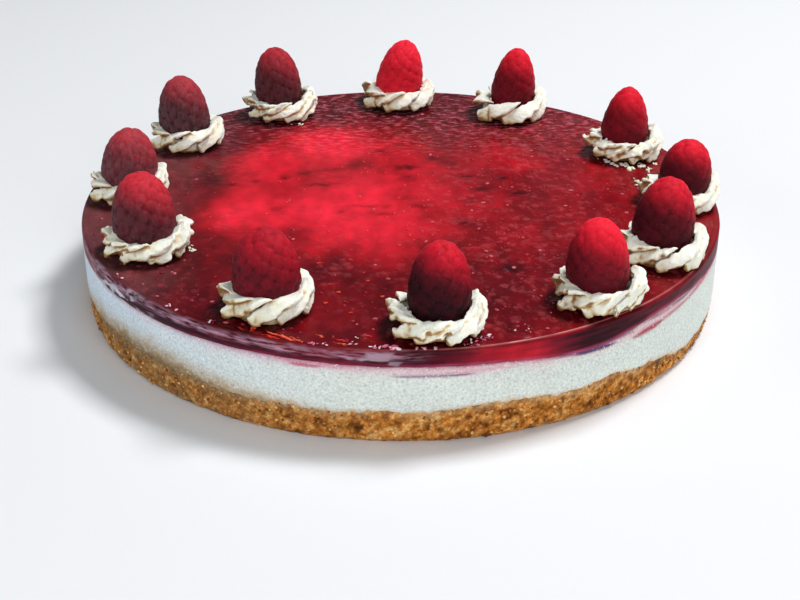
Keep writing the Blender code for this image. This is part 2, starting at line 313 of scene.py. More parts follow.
class Surface:
    """A material with a Principled shader, and short ways to add nodes to it."""

    def __init__(self, name, **constants):
        self.material = bpy.data.materials.new(name)
        self.material.use_nodes = True
        self.tree = self.material.node_tree
        self.shader = self.tree.nodes["Principled BSDF"]
        for socket, value in constants.items():
            self.feed(self.shader, socket.replace("_", " "), value)

    def feed(self, node, socket, value):
        if isinstance(value, bpy.types.NodeSocket):
            self.tree.links.new(value, node.inputs[socket])
        else:
            node.inputs[socket].default_value = value

    def add(self, kind, inputs, output=0, **settings):
        node = self.tree.nodes.new("ShaderNode" + kind)
        for setting, value in settings.items():
            setattr(node, setting, value)
        for socket, value in inputs.items():
            self.feed(node, socket, value)
        return node.outputs[output]

    def places(self, stretch=(1, 1, 1)):
        """Places on the piece in millimetres, each axis multiplied by a number."""
        scale = tuple(axis / MM for axis in stretch)
        return self.add("Mapping", {"Vector": self.add("TexCoord", {}, "Object"), "Scale": scale})

    def noise(self, size, detail, stretch=(1, 1, 1)):
        inputs = {"Vector": self.places(stretch), "Scale": 1 / size, "Detail": detail}
        return self.add("TexNoise", inputs)

    def cells(self, size):
        return self.add("TexVoronoi", {"Vector": self.places(), "Scale": 1 / size})

    def range(self, value, low, high, start=0.0, end=1.0):
        """A value from low to high brought to the range from start to end."""
        inputs = {"Value": value, "From Min": low, "From Max": high, "To Min": start, "To Max": end}
        return self.add("MapRange", inputs)

    def spots(self, size, detail, *limits, stretch=(1, 1, 1)):
        """Noise brought from one range to another."""
        return self.range(self.noise(size, detail, stretch), *limits)

    def mix(self, factor, first, second, blend_type="MIX"):
        """Two colours mixed. The second may be one of a picture."""
        second = rgba(second) if isinstance(second, tuple) else second
        return self.add("Mix", {0: factor, 6: first, 7: second}, 2, data_type="RGBA", blend_type=blend_type)

    def shaded(self, colour, shade):
        return self.mix(1.0, colour, shade, "MULTIPLY")

    def sum(self, first, second, operation="ADD"):
        return self.add("Math", {0: first, 1: second}, operation=operation)

    def times(self, first, second):
        return self.sum(first, second, "MULTIPLY")

    def paint(self, output=0):
        return self.add("Attribute", {}, output, attribute_name="paint")

    def bump(self, height, depth):
        """Relief as deep as that, in millimetres, where the height goes from 0 to 1."""
        normal = self.add("Bump", {"Height": height, "Distance": depth * MM, "Strength": 1.0})
        self.feed(self.shader, "Normal", normal)

    def colour(self, value):
        self.feed(self.shader, "Base Color", value)


def glaze_surface():
    """Set raspberry jelly: finely wrinkled towards the back, with painted shade in the folds and painted
    highlights on the crests. The paint's fourth number says how lumpy with pulp it is, and below 0 how much
    filling is smeared over it."""
    surface = Surface("glaze_jelly", Roughness=0.3, Specular_IOR_Level=0.08)
    pulpy = surface.paint("Alpha")
    depth = surface.add("SeparateXYZ", {0: surface.places()}, "Y")
    back = surface.times(surface.range(depth, 38, 88), surface.range(pulpy, -SIDE_ALPHA, 0))
    blotches = surface.spots(5.5, 2, 0.3, 0.7, 0.82, 1.16, stretch=(1, 0.55, 1))
    colour = surface.shaded(surface.paint(), blotches)
    # Painted shade in the folds of the wrinkles and painted highlights on their crests, towards the back;
    # the folds also give relief
    wrinkles = surface.spots(1.0, 3, 0.36, 0.64, stretch=(0.26, 0.50, 0.4))
    folded = surface.times(surface.sum(wrinkles, -0.5), back)
    colour = surface.shaded(colour, surface.range(folded, -0.5, 0.5, 0.50, 1.50))
    highlit_crests = surface.times(surface.range(wrinkles, 0.62, 1.0, 0.0, 0.42), back)
    colour = surface.mix(highlit_crests, colour, WRINKLE_HIGHLIGHT_COLOUR)
    lumps = surface.spots(3.2, 2, 0.52, 0.76, stretch=(1, 0.7, 1))
    beads = surface.range(surface.cells(8.0), 0.26, 0.12)
    pulp = surface.times(surface.sum(lumps, beads, "MAXIMUM"), surface.range(pulpy, 0, 1))
    colour = surface.mix(surface.times(pulp, 0.36), colour, PULP_COLOUR)
    streaks = surface.spots(1.0, 3, 0.37, 0.64, stretch=(0.18, 0.18, 1.3))
    smeared = surface.times(streaks, surface.range(pulpy, -SIDE_ALPHA, -1))
    surface.colour(surface.mix(smeared, colour, SMEAR_COLOUR))
    surface.feed(surface.shader, "Roughness", surface.range(pulpy, 0.0, 0.4, 0.45, 0.26))
    height = surface.sum(surface.times(pulp, 0.55), surface.times(folded, 0.9))
    surface.bump(surface.sum(height, surface.times(surface.noise(1.8, 2), 0.05)), 0.5)
    return surface


def filling_surface():
    """Set cream cheese: satin white with a fine grain."""
    surface = Surface(
        "set_filling",
        Roughness=0.55,
        Specular_IOR_Level=0.35,
        Subsurface_Weight=0.15,
        Subsurface_Radius=(0.004, 0.0035, 0.003),
        Subsurface_Scale=0.6,
    )
    colour = surface.shaded(surface.paint(), surface.spots(0.9, 3, 0.3, 0.7, 0.80, 1.14))
    dark_specks = surface.spots(0.9, 1, 0.18, 0.33, 0.55, 0.0)
    colour = surface.mix(dark_specks, colour, (150, 160, 158))
    pale_specks = surface.spots(0.75, 1, 0.66, 0.76, stretch=(1, 1, 1.1))
    surface.colour(surface.mix(pale_specks, colour, (250, 253, 252)))
    surface.bump(surface.noise(0.9, 3), 0.14)
    return surface


def biscuit_surface():
    """Pressed biscuit crumb: matt and coarse, with dark and pale grains."""
    surface = Surface("pressed_biscuit", Roughness=0.9, Specular_IOR_Level=0.2)
    grains = surface.range(surface.cells(0.9), 0.1, 0.9, 1.30, 0.62)
    shade = surface.times(grains, surface.spots(3, 3, 0.3, 0.7, 0.68, 1.24))
    surface.colour(surface.shaded(surface.paint(), shade))
    surface.bump(surface.noise(0.7, 4), 0.45)
    return surface


def cream_surface():
    """Whipped cream: matt, a little rough where the nozzle tore it."""
    surface = Surface(
        "piped_whipped_cream",
        Roughness=0.5,
        Specular_IOR_Level=0.35,
        Subsurface_Weight=0.12,
        Subsurface_Radius=(0.003, 0.0025, 0.0018),
        Subsurface_Scale=0.5,
    )
    surface.colour(surface.shaded(surface.paint(), surface.spots(2.2, 3, 0.3, 0.7, 0.93, 1.06)))
    surface.bump(surface.noise(0.8, 4), 0.34)
    return surface


def berry_surface():
    """Raspberry skin: matt and downy over wet flesh."""
    surface = Surface(
        "berry_skin",
        Roughness=0.6,
        Specular_IOR_Level=0.08,
        Subsurface_Weight=0.10,
        Subsurface_Radius=(0.004, 0.0006, 0.0008),
        Subsurface_Scale=0.5,
        Sheen_Weight=0.02,
        Sheen_Roughness=0.4,
        Sheen_Tint=rgba((255, 150, 170)),
    )
    colour = surface.shaded(surface.paint(), surface.spots(1.4, 3, 0.3, 0.7, 0.85, 1.15))
    down = surface.spots(0.5, 1, 0.70, 0.80, 0.0, 0.16)
    surface.colour(surface.mix(down, colour, (226, 150, 150)))
    surface.bump(surface.noise(0.6, 2), 0.10)
    return surface


# The layers of the cake

SIDE_GAP = 0.15  # keeps the side's relief inside the CAD model's box
DISC_SIDE = 231  # points along each side of the square that is bent into the top's disc
LAYER_COLUMNS = 4 * (DISC_SIDE - 1)
AZIMUTHS = np.linspace(0, 360, LAYER_COLUMNS, endpoint=False)
DIRECTIONS = polar(1, np.radians(AZIMUTHS), 0)


def ring(radius, height):
    """A row of points round the axis."""
    radius = np.broadcast_to(radius, AZIMUTHS.shape)
    return DIRECTIONS * radius[:, None] + (0, 0, 1) * np.reshape(height, (-1, 1))


def height_at(azimuth, line):
    """The height at each azimuth of a line that has one for each of AZIMUTHS."""
    return np.interp(azimuth, AZIMUTHS, line, period=360)


def disc(radius):
    """Points of an even sheet of that radius, a square bent round, with its faces and the order of its
    border from azimuth 0."""
    side = np.linspace(-1, 1, DISC_SIDE)
    x, y = [axis.ravel() for axis in np.meshgrid(side, side)]
    wide = np.abs(x) >= np.abs(y)
    main = np.where(wide, x, y)
    other = np.where(wide, y, x)
    share = np.divide(other, main, out=np.zeros_like(main), where=main != 0)
    turn = np.where(wide, math.pi / 4 * share, math.pi / 2 - math.pi / 4 * share)
    points = radius * np.stack((main * np.cos(turn), main * np.sin(turn), 0 * x), axis=1)
    row, column = np.meshgrid(np.arange(DISC_SIDE - 1), np.arange(DISC_SIDE - 1), indexing="ij")
    first = (row * DISC_SIDE + column).ravel()
    faces = np.stack((first, first + 1, first + 1 + DISC_SIDE, first + DISC_SIDE), axis=1)
    border = np.flatnonzero(np.maximum(np.abs(x), np.abs(y)) > 1 - 1e-9)
    azimuth = azimuths(points[border]) % 360
    return points, faces, border[np.argsort(np.round(azimuth, 4) % 360)]


STEP_HEIGHT = 1.6  # of the biscuit's line, at the front right


def base_line():
    """The height of the ragged line between biscuit and filling."""
    ragged = 1.3 * layered(ring(CAKE_RADIUS, 0), 7.0)
    ragged += 0.5 * noise(ring(CAKE_RADIUS, 9), 1.6)
    step = STEP_HEIGHT * ramp(AZIMUTHS, 301.5, 305.5) * ramp(AZIMUTHS, 326, 310)
    return BASE_HEIGHT + around(AZIMUTHS, BASE_WAVES, BASE_HUMPS) + ragged + step


def filling_line():
    """The height of the line between filling and glaze."""
    ragged = 0.22 * layered(ring(CAKE_RADIUS, 30), 3.5)
    return FILLING_TOP + around(AZIMUTHS, FILLING_WAVES, FILLING_HUMPS) + ragged


BISCUIT_TONES = ((0.0, 88, 46, 12), (0.25, 154, 90, 28), (0.55, 206, 132, 52), (1.0, 240, 196, 128))
SANDY = (218, 188, 142)
CRUMB_SMUDGE = (138, 112, 74)
SMUDGE_SIDE = -137
BISCUIT_ROWS = 26


def add_base(surface):
    line = base_line()
    rows = [ring(radius, 0) for radius in (40, 80, 110, FOOT_RADIUS - 1)]
    for row in range(BISCUIT_ROWS + 1):
        share = row / BISCUIT_ROWS
        height = share * line
        places = ring(CAKE_RADIUS, height)
        # Grains stand out of the side and leave holes, and the foot is rounded
        relief = 0.55 * layered(places, 3.2) + 0.35 * noise(places, 1.1)
        relief = np.minimum(relief, 0.4) * (1 - 0.6 * ramp(share, 0.8, 1))
        radius = CAKE_RADIUS - BASE_HOLLOW + 0.3 * ramp(share, 0.5, 1) + relief
        foot = np.clip(1 - height / (1.5 * FOOT_BEVEL), 0, 1)
        radius -= (CAKE_RADIUS - BASE_HOLLOW - FOOT_RADIUS) * foot**2
        rows.append(ring(radius, height))
    rows.append(ring(EVEN_RADIUS, BASE_HEIGHT - GAP))
    points, polygons = closed_sheet(np.array(rows))
    azimuth = azimuths(points)
    below = height_at(azimuth, line) - points[:, 2]
    value = 0.46 + 0.45 * layered(points, 5.0) + 0.45 * noise(points, 1.2)
    paint = tones(value, BISCUIT_TONES)
    sandy = ramp(below, 3.6, 0.4) * (0.55 + 0.8 * layered(points, (6, 6, 3)))
    paint = blend(paint, SANDY, 0.6 * sandy)
    left = bump(azimuth, SMUDGE_SIDE, 48) * (0.65 + 0.35 * ramp(below, 5, 1))
    paint = blend(paint, CRUMB_SMUDGE, left * (0.8 + 0.4 * layered(points, (4, 4, 2))))
    add_piece("biscuit_base", points, polygons, surface, paint, "crumb_base")


# Stains that the glaze left on the side when the tin came off: from and to (azimuth, height), how
# thick, how strong, and the colour
CRIMSON = (166, 24, 64)
PINK = (226, 120, 150)
VIOLET = (104, 72, 126)
PLUM = (84, 22, 62)
INK = (74, 36, 84)
STAINS = (
    (-107, 29.8, -102, 29.9, 0.6, 0.9, CRIMSON),
    (-110, 30.6, -98, 30.4, 0.9, 0.5, PINK),
    (-91, 27.7, -79, 27.5, 0.55, 1.10, VIOLET),
    (-92, 28.6, -78, 28.2, 1.10, 0.26, PINK),
    (-84, 28.8, -72, 28.4, 0.40, 0.40, PINK),
    (-62, 27.6, -54.5, 27.2, 0.80, 1.40, INK),
    (-66, 28.4, -56, 27.7, 0.50, 0.70, VIOLET),
    (-58, 28.6, -50, 29.2, 0.80, 0.55, VIOLET),
    (-50.5, 26.3, -43, 27.2, 1.10, 1.30, CRIMSON),
    (-45, 27.2, -35, 28.8, 0.75, 1.10, CRIMSON),
    (-52, 27.6, -36, 30.0, 1.50, 0.45, PINK),
    (-36, 28.6, -22, 31.6, 0.90, 1.10, CRIMSON),
    (-33, 29.8, -15, 31.0, 0.90, 0.45, PINK),
    (-48, 30.2, -30, 31.6, 0.60, 0.80, PLUM),
    (-150, 29.4, -141, 29.9, 0.40, 0.50, VIOLET),
    (-136, 28.0, -131, 28.3, 0.30, 0.35, PINK),
    (20, 27.6, 31, 28.3, 0.50, 0.80, CRIMSON),
    (52, 28.6, 60, 27.9, 0.45, 0.60, VIOLET),
    (74, 26.8, 88, 27.7, 0.65, 0.80, CRIMSON),
    (104, 28.3, 117, 28.0, 0.50, 0.60, VIOLET),
    (131, 27.2, 143, 28.4, 0.60, 0.80, CRIMSON),
    (158, 28.2, 169, 28.6, 0.45, 0.60, PINK),
)


def stained(colours, azimuth, height, places):
    """Colours of the side with the stains on it."""
    torn = 0.85 + 0.4 * noise(places, (6, 6, 0.7))
    for start, low, end, high, thickness, strength, colour in STAINS:
        along = ((azimuth - start + 180) % 360 - 180) / (end - start)
        line = low + (high - low) * np.clip(along, 0, 1)
        thickness = thickness * (0.6 + 0.4 * np.sin(np.pi * np.clip(along, 0, 1)))
        ends = ramp(along, -0.12, 0.15) * ramp(along, 1.12, 0.85)
        colours = blend(colours, colour, strength * ends * bell(height, line, thickness) * torn)
    return colours


FILLING_ROWS = 33
FILLING_WHITE = (224, 232, 226)
FILLING_LEFT_LIGHT_TINT = (208, 225, 238)
HALO = (222, 140, 168)
LILAC = (176, 148, 184)
WINE = (120, 22, 52)


def add_filling(surface):
    low = base_line()
    high = filling_line()
    rows = [ring(radius, BASE_HEIGHT) for radius in (60, EVEN_RADIUS)]
    rows.append(ring(CAKE_RADIUS - BASE_INSET - 1.2, low - 0.2))
    for row in range(FILLING_ROWS + 1):
        share = row / FILLING_ROWS
        height = low - 0.3 + share * (high - low + 0.3)
        places = ring(CAKE_RADIUS, height)
        inset = 0.7 * BASE_INSET * (1 - ramp(height - low, 0, BIB_HEIGHT))
        relief = 0.10 * layered(places, (9, 9, 4)) + 0.05 * noise(places, 1.0)
        inset = inset + 0.35 * ramp(high - height, 0.9, 0.3)
        rows.append(ring(CAKE_RADIUS - SIDE_GAP - inset + relief, height))
    rows.append(ring(EVEN_RADIUS, FILLING_TOP - 0.1))
    points, polygons = closed_sheet(np.array(rows))
    azimuth = azimuths(points)
    height = points[:, 2]
    above = height - height_at(azimuth, low)
    below = np.maximum(height_at(azimuth, high) - height, 0)
    paint = np.tile(linear(FILLING_WHITE), (len(points), 1))
    # Painted light: a bluish cast over the left of the side
    paint = blend(paint, FILLING_LEFT_LIGHT_TINT, bump(azimuth, -160, 70))
    paint *= (1 + 0.05 * layered(points, (14, 14, 5)))[:, None]
    # The biscuit leaves a brown smear at the foot, wide and fuzzy at the left
    left = bump(azimuth, SMUDGE_SIDE, 46)
    reach = 0.9 + 5.0 * left + 1.6 * np.clip(noise(points, (9, 9, 30)), 0, 1)
    grains = layered(points, (3.0, 3.0, 2.0)) + 0.5 * noise(points, 1.1)
    smear = bell(above, 0, reach) * (0.70 + 0.35 * left + 0.55 * grains)
    paint = blend(paint, SANDY, smear)
    paint = blend(paint, CRUMB_SMUDGE, smear * left)
    # The glaze bleeds into its top
    spread = 2.2 + 0.9 * noise(points, (8, 8, 20))
    halo = np.exp(-((below / spread) ** 1.4)) * (0.85 + 0.35 * layered(points, (7, 7, 0.9)))
    halo *= 1 - 0.75 * bump(azimuth, -150, 60)
    paint = blend(paint, HALO, halo)
    lilac = bump(azimuth, -114, 36) * bell(below, 0, 1.7)
    paint = blend(paint, LILAC, lilac * (0.6 + 0.9 * layered(points + 20, (7, 7, 0.8))))
    wine = 0.8 * ramp(below, 1.4, 0.2) * (0.7 + 0.5 * noise(points, (5, 5, 1)))
    paint = blend(paint, WINE, wine)
    paint = stained(paint, azimuth, height, points)
    add_piece("filling_layer", points, polygons, surface, paint, "cheese_filling")


GLAZE_TONES = (
    (0.0, 48, 5, 14),
    (0.22, 92, 8, 18),
    (0.42, 136, 12, 24),
    (0.62, 182, 22, 36),
    (0.82, 222, 32, 52),
    (1.0, 238, 40, 64),
)
# Where the pale filling shines through the glaze: middle, radius and strength
BRIGHT_LOBES = (
    (-60, 36, 17, 0.62),
    (-61, 14, 15, 0.52),
    (-68, -8, 13, 0.50),
    (-29, -8, 24, 0.72),
    (-46, -18, 16, 0.34),
    (-59, -25, 16, 0.60),
    (-19, -36, 20, 0.62),
    (-36, 52, 20, 0.70),
    (-6, -10, 16, 0.45),
    (-14, 16, 17, 0.40),
    (2, 43, 15, 0.34),
    (10, 18, 20, 0.45),
    (22, -8, 18, 0.28),
    (0, -34, 18, 0.40),
    (-48, 62, 14, 0.35),
    (-34, 22, 13, 0.45),
    (-20, 60, 18, 0.45),
    (46, 40, 17, 0.26),
    (48, 58, 12, 0.14),
    (-2, -62, 14, 0.16),
)
# Dark pits and blotches: middle, half width and half depth, and how dark
DARK_PITS = (
    (-34, 13, 4.5, 2.0, 0.38),
    (-31, 28, 6, 1.6, 0.20),
    (-41, 25, 2.6, 2.0, 0.26),
    (-50, 20, 2.2, 2.0, 0.30),
    (-24, 20, 7, 3.0, 0.12),
    (-62, 16, 2.2, 1.6, 0.24),
    (-71, 12, 2.2, 1.8, 0.30),
    (2.0, 32, 4.2, 2.6, 0.46),
    (3, 20, 5, 5.0, 0.24),
    (-9, 50, 3.0, 2.0, 0.34),
    (14, 42, 3.0, 2.0, 0.34),
    (-14, -10, 9, 1.8, 0.28),
    (-8, -17, 5, 2.0, 0.24),
    (8, -10, 4, 2.0, 0.20),
    (-24, -15, 2.4, 2.0, 0.26),
    (-50, -12, 3.0, 2.5, 0.18),
    (40, -67, 4.5, 2.2, 0.30),
    (44, -64, 3, 1.4, 0.30),
    (33, 8, 3.5, 2.2, 0.30),
    (44, 20, 2.6, 1.8, 0.26),
    (50, 4, 3.0, 2.0, 0.30),
    (28, 22, 2.4, 1.6, 0.26),
    (24, -26, 2.6, 1.8, 0.22),
)
PULP_COLOUR = (190, 66, 74)
WRINKLE_HIGHLIGHT_COLOUR = (190, 118, 136)
GLAZE_SHEEN_COLOUR = (176, 134, 140)


def pulpiness(points):
    """How much pulp shows at each point of the glaze's top, from 0 to 1: most to the right."""
    amount = 0.25 + 0.6 * ramp(points[:, 0], -10, 50) + 0.25 * ramp(points[:, 1], -20, -80)
    amount = amount + 0.25 * ramp(points[:, 0], -60, -100)
    return np.clip(amount + 0.35 * noise(points + 90, 22), 0, 1)


def glaze_light(points):
    """How bright the glaze is at each point of its top, from 0 to 1."""
    warped = points + 7 * np.stack((noise(points, 16), noise(points + 40, 16), 0 * points[:, 0]), axis=1)
    x, y, _ = warped.T
    light = 0.34 + 0.05 * ramp(x, 10, 70) - 0.09 * ramp(y, -35, -75)
    light -= 0.12 * ramp(x, -60, -95) + 0.10 * ramp(y, 70, 105)
    dim = 1.0
    for middle_x, middle_y, radius, strength in BRIGHT_LOBES:
        away = np.hypot(x - middle_x, y - middle_y) / radius
        dim = dim * (1 - strength * np.exp(-(away**3)))
    light += (1 - light) * (1 - dim)
    light -= 0.04 * np.exp(-(np.hypot(x + 33, y - 19) / 12) ** 4)
    light += 0.12 * layered(points, (10, 17, 9)) + 0.09 * layered(points + 60, (5, 8, 5))
    x = points[:, 0] + 1.6 * noise(points, 2.6)
    y = points[:, 1] + 1.6 * noise(points + 30, 2.6)
    for middle_x, middle_y, width, depth, dark in DARK_PITS:
        away = np.hypot((x - middle_x) / width, (y - middle_y) / depth)
        light -= 1.15 * dark * bell(away, 0, 1) * (0.85 + 0.5 * noise(points, 2.0))
    return light


# How dark the glaze is down its side: middle and half width in degrees, and how light (above 0) or
# dark and purple (below 0) it is there
SIDE_TONES = (
    (-85, 9, -0.9),
    (-73, 8, 1.2),
    (-57, 8, -1.0),
    (-43, 8, -0.25),
    (-29, 9, -0.6),
    (-100, 8, 0.1),
    (-134, 14, -1.0),
    (-113, 9, -0.2),
    (-12, 10, -0.5),
    (15, 12, 0.5),
    (45, 14, -0.8),
    (75, 12, 0.5),
    (105, 13, -0.6),
    (140, 14, 0.6),
    (168, 12, -0.5),
)
SIDE_DARK = (40, 4, 18)
SIDE_MIDDLE = (110, 18, 38)
SIDE_BRIGHT = (188, 28, 44)
SMEAR_COLOUR = (180, 136, 156)
PATCH_COLOUR = (206, 208, 220)
BLEED_COLOUR = (176, 70, 104)
RIM_HIGHLIGHT_COLOUR = (232, 138, 142)
DISC_RADIUS = 125.5
LIP_RADIUS = 128.55
RIM_RADIUS = 128.5
RIM_SHARES = (0.04, 0.08, 0.12, 0.16, 0.22, 0.32, 0.48, 0.70)
SIDE_ROWS = 14
ROUNDING_ROWS = 9
SIDE_ALPHA = 0.02  # below 0 in the paint of the side, where the top has 0 or more


def add_glaze(surface):
    line = filling_line()
    rounding = CRISP_EDGE + (SOFT_EDGE - CRISP_EDGE) * bump(AZIMUTHS, SOFT_SIDE, SOFT_WIDTH)
    rows = [ring(radius, FILLING_TOP + 0.1) for radius in (60, EVEN_RADIUS)]
    side_low = line - 0.3
    side_high = GLAZE_TOP - rounding
    for row in range(SIDE_ROWS + 1):
        height = side_low + (side_high - side_low) * row / SIDE_ROWS
        relief = 0.10 * layered(ring(CAKE_RADIUS, height), (8, 8, 1.6)) - 0.1
        rows.append(ring(CAKE_RADIUS - 0.05 + relief, height))
    for row in range(1, ROUNDING_ROWS + 1):
        angle = math.pi / 2 * row / ROUNDING_ROWS
        radius = CAKE_RADIUS - SIDE_GAP - rounding * (1 - math.cos(angle))
        rows.append(ring(radius, side_high + rounding * math.sin(angle)))
    edge = CAKE_RADIUS - SIDE_GAP - rounding
    for share in RIM_SHARES:
        rows.append(ring(edge + (DISC_RADIUS - edge) * share, GLAZE_TOP))
    rows = np.array(rows)
    top_points, top_faces, border = disc(DISC_RADIUS)
    top_points[:, 2] = GLAZE_TOP
    count = rows.shape[0] * LAYER_COLUMNS
    last = count - LAYER_COLUMNS + np.arange(LAYER_COLUMNS)
    border = border + count
    seam = np.stack((last, np.roll(last, -1), np.roll(border, -1), border), axis=1)
    foot = count + len(top_points)
    closing = caps(len(rows), LAYER_COLUMNS)[:LAYER_COLUMNS]
    closing[:, 0] = foot
    points = np.concatenate((rows.reshape(-1, 3), top_points, [(0, 0, FILLING_TOP + 0.1)]))
    polygons = [grid(len(rows), LAYER_COLUMNS), seam, top_faces + count, closing]
    x, y, z = points.T
    radius = np.hypot(x, y)
    azimuth = azimuths(points)
    # The top has wrinkles to the back, lumps of pulp, a shallow swell, and a fine lip at its edge
    top = z > GLAZE_TOP - 0.01
    back = ramp(y + 0.25 * np.abs(x), 45, 100)
    wrinkles = noise(points, (4.4, 1.9, 3)) + 0.5 * noise(points, (2.4, 1.3, 2))
    lumps = ramp(layered(points, (3.2, 2.4, 3), 2), 0.12, 0.62) * pulpiness(points)
    relief = 0.15 * back * wrinkles + 0.25 * lumps
    relief += 0.10 * layered(points, 18) + 0.05 * noise(points, 2.6) - 0.12
    front_right = bump(azimuth, -62, 45)
    lip = bell(radius, LIP_RADIUS, 0.25) * front_right
    z += np.where(top, relief * ramp(radius, 129.5, 126) + 0.12 * lip, 0)
    paint = tones(glaze_light(points), GLAZE_TONES)
    paint = blend(paint, PULP_COLOUR, 0.12 * lumps)
    # Painted highlights on the crests of the wrinkles and painted shade between them, towards the back
    highlit_crests = ramp(wrinkles, 0.1, 0.9)
    paint = blend(paint, WRINKLE_HIGHLIGHT_COLOUR, 0.16 * back * highlit_crests)
    paint *= (1 - 0.2 * back * (1 - highlit_crests) * ramp(-wrinkles, 0.0, 0.7))[:, None]
    # Painted sheen: a greyish haze over the glaze towards the left
    paint = blend(paint, GLAZE_SHEEN_COLOUR, 0.13 * ramp(x, -72, -106))
    # Painted shadow: the glaze is darker round each rosette, offset to the lower left, away from the light
    for portion in PORTIONS:
        middle_x, middle_y, _ = berry_place(portion) - (2.5, 1.5, 0)
        away = np.hypot(x - middle_x, y - middle_y)
        away /= portion.cream_width / 2 + 1.5
        paint *= (1 - 0.58 * ramp(away, 1.14, 0.92))[:, None]
    # Down the side
    depth = GLAZE_TOP - z
    value = sum(tone * bump(azimuth, side, 2 * width) for side, width, tone in SIDE_TONES)
    value = np.clip(value + 0.7 * layered(points, (12, 12, 1.1)), -1, 1)
    side = np.tile(linear(SIDE_MIDDLE), (len(points), 1))
    side = blend(side, SIDE_DARK, -value)
    side = blend(side, SIDE_BRIGHT, value)
    paint = blend(paint, side, ramp(depth, 0.4, 1.2))
    # At the left a pale smear lies over a torn dark line, with bare patches at its end
    left = ramp(azimuth, -84, -92) * ramp(azimuth, -176, -140)
    foot = height_at(azimuth, line)
    above = z - foot
    torn = bell(above, 1.2, 0.9) * left * (0.9 + 0.5 * noise(points, (3, 3, 1)))
    paint = blend(paint, SIDE_DARK, torn * (depth > 1) * ramp(azimuth, -88, -112))
    edge = depth + 1.1 * layered(points + 70, (5, 5, 3), 2)
    smeared = SIDE_ALPHA + 1.2 * left * bell(depth, 2.0, 1.4) * ramp(edge, 0.3, 1.2)
    smeared *= 0.9 + 0.6 * layered(points, (9, 9, 1.5), 2)
    patches = ramp(layered(points + 50, (4, 4, 1.5), 2), 0.05, 0.30)
    patches *= bump(azimuth, -144, 15) + 0.5 * bump(azimuth, -94, 9)
    paint = blend(paint, PATCH_COLOUR, 0.9 * patches * ramp(depth, 0.3, 1.2))
    bleed = ramp(above, 1.3, 0.0) * (z < 36) * (radius > 126) * (1 - 0.75 * left)
    paint = blend(paint, BLEED_COLOUR, bleed * (0.55 + 0.5 * noise(points, (6, 6, 1))))
    # Painted highlight: a pale pink line along the rounded edge, strongest at the front right
    rim_highlight = bell(radius, RIM_RADIUS, 0.32) * (z > 30)
    rim_highlight *= (0.06 + 0.90 * front_right) * (0.75 + 0.6 * noise(points, 3.5))
    paint = blend(paint, RIM_HIGHLIGHT_COLOUR, rim_highlight)
    pulp = pulpiness(points) * (z > 36) * (radius < 127.5)
    paint = np.column_stack((paint, np.where(depth > 0.3, -smeared, pulp)))
    add_piece("glaze_layer", points, polygons, surface, paint, "raspberry_glaze")


# Raspberries

BERRY_TONES = (
    (0.0, 30, 8, 14),
    (0.3, 88, 14, 26),
    (0.6, 158, 20, 36),
    (0.85, 216, 28, 48),
    (1.0, 240, 36, 58),
)
BERRY_SHEEN_COLOUR = (128, 96, 102)
BERRY_SLICES = 200
BERRY_BALL = 6
BERRY_KEPT = 0.988  # keeps the tips under the CAD model's
DRUPELET_REACH = 3.0
GROOVE_DEPTH = 0.88


def berry_profile(share, taper):
    """A berry's radius at a share of its height, as a share of its widest radius."""
    below = np.clip(1 - share / BERRY_WAIST, 0, 1)
    above = np.clip((share - BERRY_WAIST) / (1 - BERRY_WAIST), 0, 1)
    return (1 - (1 - BERRY_MOUTH) * below**2) * (1 - taper * above) * np.sqrt(1 - above**BERRY_DOME)


def berry_radius(portion, level):
    share = np.clip((level - SEAT_HEIGHT) / portion.height, 0, 1)
    return portion.width / 2 * berry_profile(share, portion.taper)


def berry_centre(portion, level):
    """Where a berry's middle is at each level above the glaze, with its lean."""
    share = np.clip((np.asarray(level) - SEAT_HEIGHT) / portion.height, 0, None)[..., None]
    return np.array((*portion.stand, 0)) + share * np.array((*portion.lean, 0))


def skin_table(portion):
    """A berry's outline from the middle of its foot, round its mouth and up to its tip: radii, levels
    and the share of its skin below each."""
    shares = np.linspace(0, 1, BERRY_SLICES + 1)
    radii = np.concatenate(((0.0,), portion.width / 2 * berry_profile(shares, portion.taper)))
    levels = np.concatenate(((0.0,), portion.height * shares))
    slants = np.hypot(np.diff(radii), np.diff(levels))
    areas = np.cumsum((radii[1:] + radii[:-1]) * slants)
    return radii, levels, np.concatenate(((0.0,), areas / areas[-1]))


def berry_place(portion):
    return polar(portion.distance, math.radians(portion.azimuth), GLAZE_TOP)


